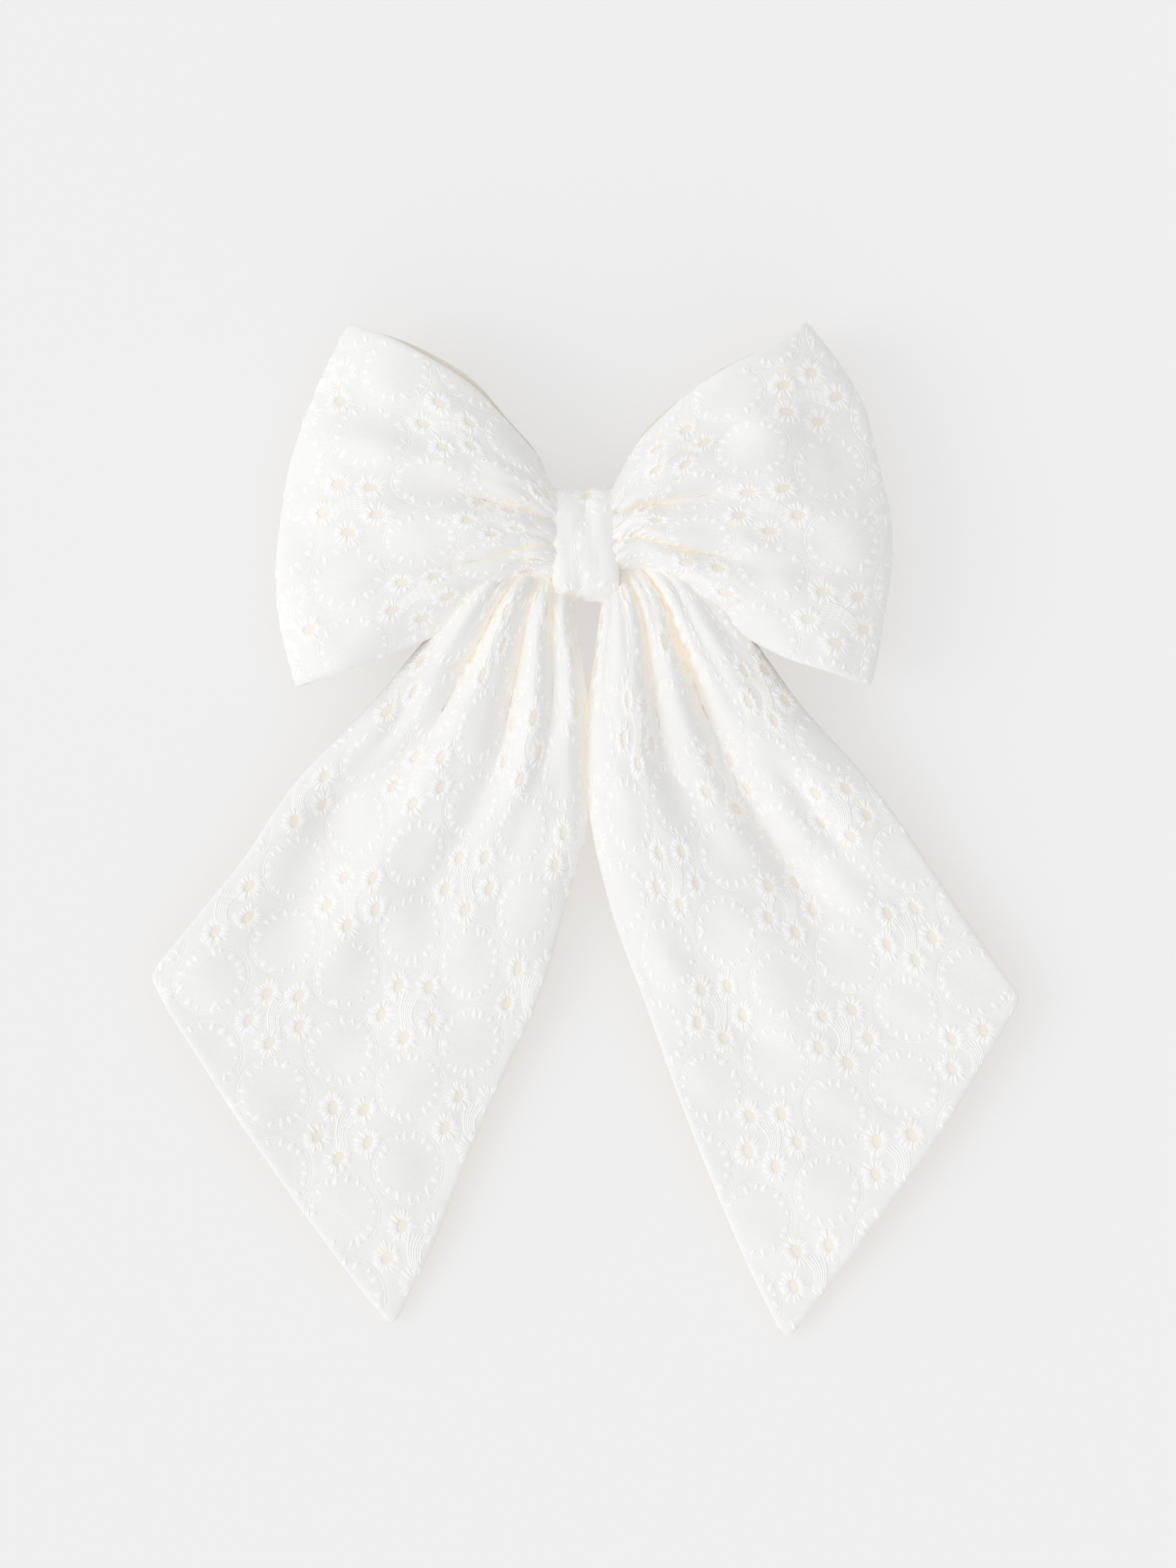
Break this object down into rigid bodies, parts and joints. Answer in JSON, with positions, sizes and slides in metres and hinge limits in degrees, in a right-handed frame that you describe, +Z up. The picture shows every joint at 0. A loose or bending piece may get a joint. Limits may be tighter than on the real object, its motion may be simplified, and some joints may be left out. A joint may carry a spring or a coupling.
{
  "type": "hair bow barrette",
  "caption": "Large hair bow in white eyelet cotton with wide pointed tails, gathered by a knot wrap on a steel spring barrette that clamps a lock of hair.",
  "frame": {"origin": "centre of the closed arm's flat back, straight behind the middle of the knot, where the bow rests on the hair", "axes": "+Z up the bow as worn with its tails hanging towards -Z, +X along the barrette to the right seen from the front, +Y towards the hair; the bow's front faces -Y"},
  "size_m": [0.1918, 0.0273, 0.2233],
  "materials": {
    "eyelet_cotton": "matt white plain-weave cotton with embroidered eyelets",
    "lining_cotton": "matt off-white plain-weave cotton",
    "white_thread": "soft twisted sewing thread",
    "plated_steel": "bright nickel plate with fine brushing",
    "spring_steel": "rolled spring steel, satin"
  },
  "bodies": {
    "bow": {"band_face": "eyelet_cotton", "band_lining": "lining_cotton", "tail_gather": "eyelet_cotton", "knot_wrap": "eyelet_cotton", "gathering_thread": "white_thread", "wrap_seam_stitches": "white_thread", "barrette_base": "plated_steel", "catch_foot": "plated_steel", "hinge_pin": "plated_steel"},
    "left_tail": {"left_tail_face": "eyelet_cotton", "left_tail_lining": "lining_cotton", "left_tail_seam_thread": "white_thread"},
    "right_tail": {"right_tail_face": "eyelet_cotton", "right_tail_lining": "lining_cotton", "right_tail_seam_thread": "white_thread"},
    "clasp_arm": {"clasp_arm": "plated_steel"},
    "tension_bar": {"tension_bar": "spring_steel"},
    "upper_catch_wing": {"upper_catch_wing": "plated_steel"},
    "lower_catch_wing": {"lower_catch_wing": "plated_steel"}
  },
  "joints": [
    {"name": "left_tail_swing", "type": "hinge", "parent": "bow", "child": "left_tail", "pos_m": [-0.02, -0.0121, -0.03], "axis": [-1, 0, 0], "range_deg": [0, 60]},
    {"name": "right_tail_swing", "type": "hinge", "parent": "bow", "child": "right_tail", "pos_m": [0.02, -0.0121, -0.03], "axis": [-1, 0, 0], "range_deg": [0, 60]},
    {"name": "arm_hinge", "type": "hinge", "parent": "bow", "child": "clasp_arm", "pos_m": [-0.0282, -0.0023, 0], "axis": [0, 0, 1], "range_deg": [0, 100]},
    {"name": "bar_flex", "type": "slide", "parent": "bow", "child": "tension_bar", "axis": [0, -1, 0], "range_m": [0, 0.0004], "stiffness_N_per_m": 900},
    {"name": "upper_wing_squeeze", "type": "hinge", "parent": "bow", "child": "upper_catch_wing", "pos_m": [0.028, -0.00513, 0.0019], "axis": [-1, 0, 0], "range_deg": [0, 8], "stiffness_Nm_per_rad": 0.02},
    {"name": "lower_wing_squeeze", "type": "hinge", "parent": "bow", "child": "lower_catch_wing", "pos_m": [0.028, -0.00513, -0.0019], "axis": [1, 0, 0], "range_deg": [0, 8], "stiffness_Nm_per_rad": 0.02}
  ],
  "couplings": [
    {"joint": "lower_wing_squeeze", "follows": "upper_wing_squeeze", "ratio": 1}
  ]
}
